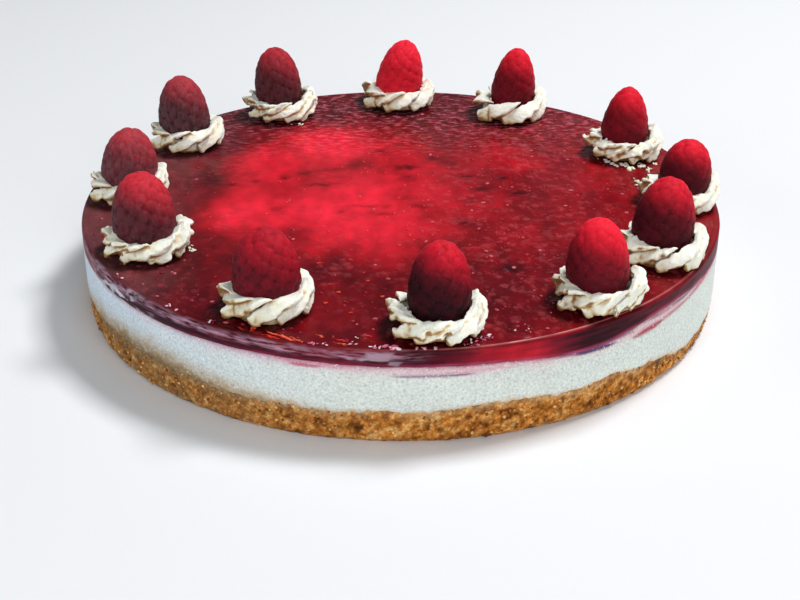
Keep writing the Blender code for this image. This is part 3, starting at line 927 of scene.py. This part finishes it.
def add_berry(number, portion, surface):
    """A raspberry of 100 drupelets, as domes round the same centres as in the CAD."""
    rng = np.random.default_rng(100 + number)
    radii, levels, covered = skin_table(portion)
    directions, faces = ball(BERRY_BALL)
    place = (directions[:, 2] + 1) / 2
    level = SEAT_HEIGHT + BERRY_KEPT * np.interp(place, covered, levels)
    radius = np.interp(place, covered, radii)
    flat = directions[:, :2] / np.maximum(np.linalg.norm(directions[:, :2], axis=1), 1e-9)[:, None]
    points = np.column_stack((flat * radius[:, None], level))
    # The drupelets' centres, with even skin round each
    mouth = covered[1]
    shares = 1 - (1 - mouth) * (np.arange(DRUPELETS) + 0.5) / DRUPELETS
    turns = np.arange(DRUPELETS) * GOLDEN_ANGLE + number
    centre_radii = np.interp(shares, covered, radii)
    centres = polar(centre_radii, turns, SEAT_HEIGHT + np.interp(shares, covered, levels))
    centres += rng.normal(0, 0.22, centres.shape)
    sizes = DRUPELET_REACH * rng.uniform(0.90, 1.06, DRUPELETS)
    away = np.linalg.norm(points[:, None, :] - centres[None, :, :], axis=2) / sizes
    nearest = np.argmin(away, axis=1)
    dome = np.sqrt(np.clip(1 - np.min(away, axis=1) ** 2, 0, 1))
    outwards = points - (0, 0, SEAT_HEIGHT + 0.45 * portion.height)
    outwards /= np.linalg.norm(outwards, axis=1)[:, None]
    points = points - outwards * (GROOVE_DEPTH * (1 - dome))[:, None]
    # Painted light and the berry's own colour: redder to the tip, and to the side that the light comes from
    # as painted light, with painted shade in the grooves between drupelets and each drupelet a little
    # different
    share = (level - SEAT_HEIGHT) / portion.height
    lit = share + 0.16 * outwards[:, 0] + 0.10 * outwards[:, 1]
    red = portion.foot_red + (portion.tip_red - portion.foot_red) * ramp(lit, 0.25, 1.05)
    red += rng.normal(0, 0.02, DRUPELETS)[nearest] + 0.05 * noise(points, 5.0)
    red -= 0.06 * ramp(dome, 0.75, 0.45)
    paint = tones(red, BERRY_TONES)
    # A painted sheen, streaked like fine pale hairs, dulls the berries at the left
    painted_sheen = (0.8 + 0.5 * noise(points, (0.7, 0.7, 3.5))) * bump(portion.azimuth, 165, 92)
    paint = blend(paint, BERRY_SHEEN_COLOUR, 0.38 * painted_sheen * (0.5 + 0.5 * ramp(dome, 0.3, 0.8)))
    points = points + berry_centre(portion, points[:, 2]) + berry_place(portion)
    node = f"raspberry_{number:02d}"
    add_piece(f"berry_{number:02d}", points, [faces], surface, paint, node)


# Piped cream

STRAND_STEPS = 40
STRAND_SIDES = 24
STRAND_TURN = 90
FIRST_STRAND = 199
FOOT_CLIMB = -46
LIP_CLIMB = 104
RIBBON_SHARE = 0.060
RIBBON_SQUARENESS = 0.45
CORE_STEPS = 96
CORE_SIDES = 16
CREAM_VOXEL = 0.32
CREAM_KEPT = 0.40
RELAX_ROUNDS = 24
CREAM_FLOOR = (11.5, 11.5, 1.3)
FREE_SIDE = 178
FREE_WIDTH = 78
LIFTED_SIDE = 152
LIFTED_WIDTH = 34
LIFT = 4.5
CREAM_REACH = 129.7
CREAM_SPREAD = 0.97  # of the width of the CAD model's rosette
CREAM_RISE = 0.88  # of its height
CREAM_LIGHT = (0.50, -0.15, 0.85)  # towards the light: cream that faces away from it is painted tanner, as painted shade
CREAM_TONES = ((0.0, 158, 116, 70), (0.3, 214, 188, 140), (0.6, 240, 237, 211), (1.0, 248, 250, 238))


def ribbon(path, outwards, widths, thicknesses, tilt=0.0):
    """A closed ribbon of cream along a path: its half widths across and half thicknesses outwards, for
    each step of the path. The tilt, in degrees, brings its lower edge out over the next ribbon."""
    along = np.gradient(path, axis=0)
    along /= np.linalg.norm(along, axis=1)[:, None]
    outwards = outwards - along * np.sum(outwards * along, axis=1)[:, None]
    outwards /= np.linalg.norm(outwards, axis=1)[:, None]
    across = np.cross(outwards, along)
    turn = math.radians(tilt)
    outwards, across = (
        outwards * math.cos(turn) + across * math.sin(turn),
        across * math.cos(turn) - outwards * math.sin(turn),
    )
    angles = np.linspace(0, math.tau, STRAND_SIDES, endpoint=False)
    rise = np.sign(np.cos(angles)) * np.abs(np.cos(angles)) ** RIBBON_SQUARENESS
    spread = np.sign(np.sin(angles)) * np.abs(np.sin(angles)) ** RIBBON_SQUARENESS
    section = outwards[:, None, :] * (rise * thicknesses[:, None])[:, :, None]
    section = section + across[:, None, :] * (spread * widths[:, None])[:, :, None]
    return path[:, None, :] + section


def ring_section(portion, azimuth, level):
    """The middle and half the width of the cream between berry and outside, and its height there."""
    turn = np.radians(azimuth)
    direction = polar(1, turn, 0)
    inner = np.sum(berry_centre(portion, level) * direction, axis=1) + berry_radius(portion, level) - 0.2
    outer = np.maximum(CREAM_SPREAD * portion.cream_width / 2, inner + 3.0)
    high = CREAM_RISE * ROSETTE_HEIGHT * (1 + 1.4 * LOBE_RISE * bump(azimuth, LOBE_SIDE, LOBE_WIDTH))
    high = high * (1 + 0.12 * bump(azimuth, TONGUE_SIDE, TONGUE_WIDTH))
    high = high * (1 + portion.rise * bump(azimuth, -80, 75))
    return direction, (inner + outer) / 2, (outer - inner) / 2, high


def strand(portion, rng, start, turn, width, thickness):
    """One ribbon of a swirl: it starts blunt, outside at the foot, and climbs round to the lip."""
    share = np.linspace(0, 1, STRAND_STEPS)
    azimuth = start + turn * share
    climb = np.radians(FOOT_CLIMB + (LIP_CLIMB - FOOT_CLIMB) * share)
    level = ROSETTE_HEIGHT / 2 * (1 + np.sin(climb))
    direction, middle, half, tall = ring_section(portion, azimuth, level)
    free = bump(start, FREE_SIDE, FREE_WIDTH)
    lifted = bump(start, LIFTED_SIDE, LIFTED_WIDTH)
    reach = middle + np.maximum(half - 0.9 * thickness, 0.5) * np.cos(climb) - 0.8 * free
    level = tall / 2 + (tall / 2 - 0.9 * thickness) * np.sin(climb)
    level += rng.uniform(-0.6, 1.2) * share**4
    wander = np.column_stack((share * 5, share * 0 + start, share * 0))
    level += 0.30 * portion.ragged * noise(wander, 1.0)
    path = direction * reach[:, None]
    path[:, 2] = level
    # It starts straight, so that its end stands off the ring, most to the left
    bend = int(STRAND_STEPS * (0.13 + 0.19 * free))
    step = path[bend + 1] - path[bend]
    step[:2] -= (0.26 + 0.16 * free) * np.linalg.norm(step) * direction[bend, :2]
    path[:bend] = path[bend] - step * np.arange(bend, 0, -1)[:, None]
    path[:, 2] = np.maximum(path[:, 2], 1.2 + 1.0 * free) + LIFT * lifted * (1 - share) ** 2
    outwards = direction * np.cos(climb)[:, None]
    outwards[:, 2] = np.sin(climb)
    nose = np.sqrt(np.clip(share / 0.03, 0.02, 1)) * np.clip((1 - share) / 0.25, 0.04, 1) ** 0.6
    swell = 0.80 + 0.28 * ramp(share, 0.0, 0.4)
    return ribbon(path, outwards, width * nose * swell, thickness * nose, rng.uniform(26, 40))


def roughened(points, rng, amount):
    """A ribbon's points with its edges torn: its width changes by noise along it, on each edge apart,
    and fine creases run along it."""
    steps, sides, _ = points.shape
    middle = points.mean(axis=1, keepdims=True)
    spread = np.sin(np.linspace(0, math.tau, sides, endpoint=False))
    edge = np.sign(spread) * np.abs(spread) ** 3
    along = np.arange(steps) * 0.75
    line = np.column_stack((along, 0 * along, 0 * along))
    upper, lower = [noise(line + rng.uniform(0, 60, 3), size) for size in (1.9, 2.3)]
    change = amount * (np.outer(upper, np.clip(edge, 0, 1)) + np.outer(lower, np.clip(-edge, 0, 1)))
    creases = np.stack(np.broadcast_arrays(along[:, None] / 5, 4.5 * spread[None, :], 0.0), axis=2)
    creases = noise(creases.reshape(-1, 3) + rng.uniform(0, 60, 3), 1.0)
    change += 0.35 * amount * creases.reshape(steps, sides)
    return middle + (points - middle) * (1 + change)[:, :, None]


def rosette_parts(portion, rng):
    """The ribbons of a rosette, which overlap, and the ring underneath."""
    parts = []
    spacing = 360 / portion.strands
    width = RIBBON_SHARE * spacing
    for index in range(portion.strands):
        start = FIRST_STRAND + (index + rng.uniform(-0.14, 0.14)) * spacing
        turn = STRAND_TURN + rng.uniform(-14, 12)
        points = strand(portion, rng, start, turn, width * rng.uniform(0.9, 1.12), rng.uniform(0.95, 1.25))
        parts.append(roughened(points, rng, 0.46 * portion.ragged))
    # The end of the piping: a smooth high crescent beside the berry
    share = np.linspace(0, 1, STRAND_STEPS)
    azimuth = LOBE_SIDE - 58 + 100 * share
    hump = np.sin(np.pi * share**0.85)
    level = 3.6 + 4.6 * hump
    direction, middle, half, _ = ring_section(portion, azimuth, level)
    path = direction * (middle + 0.20 * half)[:, None]
    path[:, 2] = level
    outwards = direction * 0.9
    outwards[:, 2] = 0.45
    size = 0.25 + 0.9 * hump**0.7
    crescent = ribbon(path, outwards, 2.4 * size, 1.25 * size)
    parts.append(roughened(crescent, rng, 0.12 * portion.ragged))
    # The ring underneath
    azimuth = np.linspace(0, 360, CORE_STEPS, endpoint=False)
    level = np.full(CORE_STEPS, 4.0)
    direction, middle, half, tall = ring_section(portion, azimuth, level)
    angles = np.linspace(0, math.tau, CORE_SIDES, endpoint=False)
    size = 1 - 0.45 * bump(azimuth, TONGUE_SIDE - 15, 75)
    reach = middle[:, None] - 0.6 + ((half - 1.7) * size)[:, None] * np.cos(angles)
    core = direction[:, None, :] * reach[:, :, None]
    core[:, :, 2] = 3.2 + (2.9 * size * tall / ROSETTE_HEIGHT)[:, None] * np.sin(angles)
    return parts, core


def add_rosette(number, portion, surface):
    rng = np.random.default_rng(200 + number)
    parts, core = rosette_parts(portion, rng)
    bodies = [closed_sheet(points) for points in parts]
    steps, sides, _ = core.shape
    closed_core = np.concatenate((core, core[:1]))
    bodies.append((closed_core.reshape(-1, 3), [grid(steps + 1, sides)]))
    points, polygons = joined(bodies)
    mesh = bpy.data.meshes.new("swirl")
    faces = [tuple(face) for group in polygons for face in group.tolist()]
    mesh.from_pydata(points.tolist(), [], faces)
    bm = bmesh.new()
    bm.from_mesh(mesh)
    bmesh.ops.remove_doubles(bm, verts=bm.verts, dist=1e-4)
    bmesh.ops.recalc_face_normals(bm, faces=bm.faces)
    bm.to_mesh(mesh)
    bm.free()
    swirl = add_object("swirl", mesh)
    remesh = swirl.modifiers.new("remesh", "REMESH")
    remesh.mode = "VOXEL"
    remesh.voxel_size = CREAM_VOXEL
    thinned = swirl.modifiers.new("thinned", "DECIMATE")
    thinned.ratio = CREAM_KEPT
    thinned.use_collapse_triangulate = True
    whole = bpy.data.meshes.new_from_object(swirl.evaluated_get(bpy.context.evaluated_depsgraph_get()))
    bpy.data.objects.remove(swirl)
    points = mesh_values(whole.vertices, "co", 3)
    normals = mesh_values(whole.vertices, "normal", 3)
    edges = mesh_values(whole.edges, "vertices", 2, int)
    faces = mesh_values(whole.loops, "vertex_index", 1, int).reshape(-1, 3)
    bpy.data.meshes.remove(whole)
    torn = noise(points + 13 * number, (1.6, 1.6, 1.0)) * (0.05 + 0.16 * portion.ragged)
    torn += 0.11 * noise(points + 7 * number, 0.8)
    points = points + normals * torn[:, None]
    # Painted shade: hollows, where a point lies inside the smoothed shape, are painted darker and tanner,
    # as are faces turned from the light and the cream low down by the glaze
    hollow = np.sum((relaxed(points, edges, RELAX_ROUNDS) - points) * normals, axis=1)
    value = 0.84 - 2.3 * np.clip(hollow, -0.08, 0.24) + 0.18 * noise(points + 5 * number, 4.0)
    value -= 1.25 * np.clip(0.42 - normals @ CREAM_LIGHT, 0, 1)
    value -= 0.25 * ramp(points[:, 2], 3.0, 0.5)
    points[:, 2] = np.maximum(points[:, 2], 0.1)
    # A thin floor of cream under the berry
    floor_points, floor_faces = ball(3)
    floor_points = floor_points * CREAM_FLOOR + (0, 0, 1.5)
    points, polygons = joined([(points, [faces]), (floor_points, [floor_faces])])
    paint = tones(np.append(value, np.full(len(floor_points), 0.6)), CREAM_TONES)
    points = points + berry_place(portion)
    reach = np.hypot(points[:, 0], points[:, 1])
    points[:, :2] *= np.minimum(1, CREAM_REACH / reach)[:, None]
    node = f"rosette_{number:02d}"
    add_piece(f"cream_{number:02d}", points, polygons, surface, paint, node)


# Small things lying on the cake

FLECK_COUNT = 900
FLECK_REACH = 126
FLECK_THICKNESS = 0.32
FLECK_SINK = 0.10
SEED_SHARE = 0.16
SEED_COLOUR = (216, 112, 122)


def add_flecks(surface):
    """Seeds and bits of pulp in the glaze, thicker to the right and the front. A few are pale."""
    rng = np.random.default_rng(31)
    centres = []
    while len(centres) < FLECK_COUNT:
        radius = FLECK_REACH * math.sqrt(rng.uniform())
        turn = rng.uniform(0, math.tau)
        x = radius * math.cos(turn)
        y = radius * math.sin(turn)
        dense = 0.35 + 0.35 * (x > 0) + 0.3 * (y < -30) - 0.2 * (y > 70)
        bare = any(math.dist((x, y), lobe[:2]) < lobe[2] and lobe[3] > 0.45 for lobe in BRIGHT_LOBES)
        if rng.uniform() < dense * (0.35 if bare else 1):
            centres.append((x, y, GLAZE_TOP - FLECK_SINK))
    lengths = 0.45 + 0.9 * rng.uniform(0, 1, FLECK_COUNT) ** 2
    widths = lengths * rng.uniform(0.5, 0.9, FLECK_COUNT)
    sizes = np.stack((lengths, widths, np.full(FLECK_COUNT, FLECK_THICKNESS)), axis=1)
    light = glaze_light(np.array(centres)) + rng.uniform(0.04, 0.24, FLECK_COUNT)
    pale = np.where(rng.uniform(0, 1, FLECK_COUNT) < SEED_SHARE, rng.uniform(0.4, 1.0, FLECK_COUNT), 0.12)
    colours = blend(tones(light, GLAZE_TONES), SEED_COLOUR, pale)
    lumps = (centres, sizes, colours)
    add_scattered("glaze_flecks", surface, rng, lumps, 1, 0.12)


# Strings of pulp that glow in the glaze near the front edge: azimuth and distance of both ends, and
# half their width
PULP_STRINGS = (
    (-113.9, 126.6, -114.1, 121.5, 0.55),
    (-112.0, 124.2, -108.6, 126.2, 0.42),
    (-109.6, 125.2, -106.4, 127.6, 0.50),
    (-111.5, 127.0, -109.0, 127.9, 0.30),
    (-107.4, 125.2, -104.9, 127.9, 0.30),
    (-101.0, 122.6, -98.2, 124.2, 0.40),
    (-100.2, 125.6, -98.0, 126.4, 0.25),
    (-116.8, 125.6, -115.0, 126.8, 0.25),
    (-103.5, 121.4, -102.3, 122.5, 0.35),
    (-96.2, 119.0, -95.0, 119.6, 0.35),
    (-105.1, 89.6, -104.1, 88.8, 0.55),
    (-106.2, 98.9, -105.5, 98.2, 0.50),
    (-94.3, 90.4, -93.6, 89.9, 0.50),
    (-116.8, 70.3, -115.7, 69.2, 0.50),
    (-100.1, 103.8, -99.6, 103.3, 0.40),
    (-108.2, 84.8, -107.7, 84.1, 0.35),
    (-99.0, 78.4, -98.4, 77.8, 0.35),
)
PULP_TONES = ((0.0, 206, 40, 40), (0.5, 236, 74, 48), (1.0, 246, 120, 84))
STRING_STEPS = 12
STRING_THICKNESS = 0.30
STRING_SINK = 0.05


def add_pulp_strings(surface):
    rng = np.random.default_rng(61)
    bodies = []
    shades = []
    for start, near, end, far, width in PULP_STRINGS:
        share = np.linspace(0, 1, STRING_STEPS)
        turn = np.radians(start + (end - start) * share + 0.25 * rng.normal(size=STRING_STEPS))
        reach = near + (far - near) * share + 0.25 * rng.normal(size=STRING_STEPS)
        path = polar(reach, turn, GLAZE_TOP - STRING_SINK)
        upwards = np.tile((0.0, 0.0, 1.0), (STRING_STEPS, 1))
        nose = np.clip(np.sin(np.pi * np.clip(share, 0.06, 0.94)), 0.2, 1)
        nose *= rng.uniform(0.6, 1.2, STRING_STEPS)
        bodies.append(closed_sheet(ribbon(path, upwards, width * nose, STRING_THICKNESS * nose)))
        shades += [rng.uniform()] * len(bodies[-1][0])
    points, polygons = joined(bodies)
    paint = tones(shades, PULP_TONES)
    add_piece("pulp_strings", points, polygons, surface, paint)


# Bits round some places on the glaze: azimuth, distance, how many, how far they spread, and half the
# length of the largest. Torn jelly is pink to white, and cream has dropped beside the rosettes.
TORN_JELLY = (
    (-91.0, 127.9, 12, 2.2, 1.5),
    (-93.6, 127.2, 6, 2.0, 1.1),
    (-98.0, 125.4, 4, 2.0, 0.8),
    (-102.6, 127.6, 7, 2.4, 1.0),
    (-86.5, 127.6, 5, 2.5, 1.2),
    (-79.2, 127.2, 8, 2.4, 0.9),
    (-76.6, 124.2, 14, 2.6, 0.9),
    (-129.5, 128.0, 5, 2.0, 1.0),
    (-143.5, 128.4, 6, 2.2, 1.0),
    (-120.5, 127.8, 4, 2.4, 0.8),
    (21.0, 99.0, 6, 3.0, 1.0),
    (3.4, 100.6, 5, 1.6, 1.0),
)
CREAM_CRUMBS = (
    (120.0, 96.0, 6, 2.0, 0.9),
    (23.7, 97.6, 6, 1.6, 1.2),
    (21.0, 99.5, 9, 1.6, 1.5),
    (18.1, 103.6, 12, 2.0, 1.9),
    (16.8, 110.0, 10, 2.2, 1.6),
    (18.4, 116.8, 5, 1.6, 1.0),
    (8.5, 101.4, 9, 2.2, 1.4),
    (-147.0, 95.2, 4, 1.4, 1.2),
    (-151.0, 95.4, 4, 3.0, 0.6),
    (-96.5, 122.0, 2, 1.0, 0.6),
    (-70.9, 121.5, 4, 1.6, 0.5),
    (-46.0, 121.0, 4, 2.0, 0.7),
)
BIT_REACH = 128.0
BIT_LIFT = 0.2
TORN_TONES = ((0.0, 150, 36, 70), (0.4, 214, 110, 140), (0.75, 236, 196, 208), (1.0, 238, 240, 246))


def add_bits(name, seed, places, stops, surface):
    rng = np.random.default_rng(seed)
    bits = np.array([place for place in places for _ in range(place[2])])
    azimuth, distance, _, spread, longest = bits.T
    along, across = rng.normal(size=(2, len(bits))) * spread
    reach = np.minimum(distance + 0.4 * across, BIT_REACH)
    turn = np.radians(azimuth) + along / reach
    centres = polar(reach, turn, GLAZE_TOP + BIT_LIFT)
    lengths = longest * rng.uniform(0.4, 1, len(bits))
    sizes = lengths[:, None] * rng.uniform((0.9, 0.3, 0.2), (1.1, 0.7, 0.45), (len(bits), 3))
    colours = tones(rng.uniform(0, 1, len(bits)), stops)
    add_scattered(name, surface, rng, (centres, sizes, colours), 2, 0.3)


CRUMB_COUNT = 1300


def add_biscuit_crumbs(surface):
    """Grains of biscuit that stand out of the base's side."""
    rng = np.random.default_rng(41)
    azimuth = rng.uniform(0, 360, CRUMB_COUNT)
    line = height_at(azimuth, base_line())
    height = 0.9 + (line - 0.6) * rng.uniform(0, 1, CRUMB_COUNT) ** 0.8
    lengths = rng.uniform(0.35, 0.95, CRUMB_COUNT)
    radius = CAKE_RADIUS - BASE_HOLLOW - 0.1 - 2.0 * np.clip(1 - height / 2.4, 0, 1) ** 2
    centres = polar(radius, np.radians(azimuth), height)
    sizes = np.stack((lengths, lengths * rng.uniform(0.6, 1, CRUMB_COUNT), lengths * 0.75), axis=1)
    colours = tones(rng.uniform(0.1, 1, CRUMB_COUNT), BISCUIT_TONES)
    lumps = (centres, sizes, colours)
    add_scattered("biscuit_grains", surface, rng, lumps, 1, 0.25, level=False)


def add_cake():
    glaze = glaze_surface()
    cream = cream_surface()
    berry = berry_surface()
    biscuit = biscuit_surface()
    add_base(biscuit)
    add_filling(filling_surface())
    add_glaze(glaze)
    for number, portion in enumerate(PORTIONS, start=1):
        add_rosette(number, portion, cream)
        add_berry(number, portion, berry)
    add_flecks(glaze)
    add_pulp_strings(glaze)
    add_bits("torn_jelly", 71, TORN_JELLY, TORN_TONES, glaze)
    add_bits("cream_crumbs", 51, CREAM_CRUMBS, CREAM_TONES[2:], cream)
    add_biscuit_crumbs(biscuit)


# The floor, the lights and the camera

FLOOR_SIZE = 12000
FLOOR_COLOUR = (230, 232, 235)
GLOW_RANGE = (600, 2600)
GLOW_STRENGTH = 0.85
AIM = (-0.82, 0.0, -11.19)
CAMERA_DISTANCE = 617
CAMERA_ELEVATION = 27.68
CAMERA_ROLL = -0.13
PHOTO_WIDTH = 800
FOCAL_PIXELS = 1434.7
SENSOR_WIDTH = 36


def add_floor():
    bm = bmesh.new()
    bmesh.ops.create_grid(bm, x_segments=8, y_segments=8, size=FLOOR_SIZE / 2 * MM)
    mesh = bpy.data.meshes.new("floor")
    bm.to_mesh(mesh)
    bm.free()
    tint = rgba(FLOOR_COLOUR)
    surface = Surface("pale_floor", Roughness=0.7, Specular_IOR_Level=0.2, Emission_Color=tint)
    surface.colour(tint)
    # Far from the cake, where the lights don't reach, the floor glows a little, so that it stays pale
    away = surface.add("VectorMath", {0: surface.places()}, "Value", operation="LENGTH")
    surface.feed(surface.shader, "Emission Strength", surface.range(away, *GLOW_RANGE, 0.0, GLOW_STRENGTH))
    mesh.materials.append(surface.material)
    add_object("floor", mesh)


def add_light(name, place, size, power, colour=(1, 1, 1)):
    """A soft rectangular light that faces the cake: place and size in metres."""
    data = bpy.data.lights.new(name, "AREA")
    data.shape = "RECTANGLE"
    data.size, data.size_y = size
    data.energy = power
    data.color = colour
    light = add_object(name, data)
    light.visible_camera = False
    light.location = place
    direction = -np.array(place)
    light.rotation_euler = (
        math.atan2(math.hypot(direction[0], direction[1]), -direction[2]),
        0,
        math.atan2(direction[1], direction[0]) - math.pi / 2,
    )


def add_stage():
    add_floor()
    world = bpy.data.worlds.new("studio")
    bpy.context.scene.world = world
    world.use_nodes = True
    background = world.node_tree.nodes["Background"]
    background.inputs["Color"].default_value = (0.92, 0.96, 1.0, 1)
    background.inputs["Strength"].default_value = 0.14
    add_light("key", (0.68, 0.40, 1.55), (0.45, 0.45), 25.5)
    add_light("front_fill", (0.30, -1.25, 0.80), (1.0, 0.7), 9.6, (1.0, 0.985, 0.96))
    add_light("left_card", (-1.10, -0.45, 0.55), (0.7, 0.5), 3.4, (0.92, 0.96, 1.0))
    add_light("back_card", (0.0, 1.25, 0.30), (1.8, 0.26), 0.55, (0.92, 0.92, 1.0))
    view = bpy.context.scene.view_settings
    view.view_transform = "Standard"
    view.look = "None"


def add_camera():
    data = bpy.data.cameras.new("camera")
    data.sensor_width = SENSOR_WIDTH
    data.lens = FOCAL_PIXELS * SENSOR_WIDTH / PHOTO_WIDTH
    camera = add_object("camera", data)
    elevation = math.radians(CAMERA_ELEVATION)
    back = np.array((0, -math.cos(elevation), math.sin(elevation)))
    camera.location = (np.array(AIM) + CAMERA_DISTANCE * back) * MM
    camera.rotation_euler = (math.pi / 2 - elevation, math.radians(CAMERA_ROLL), 0)
    bpy.context.scene.camera = camera


add_cake()
add_stage()
add_camera()
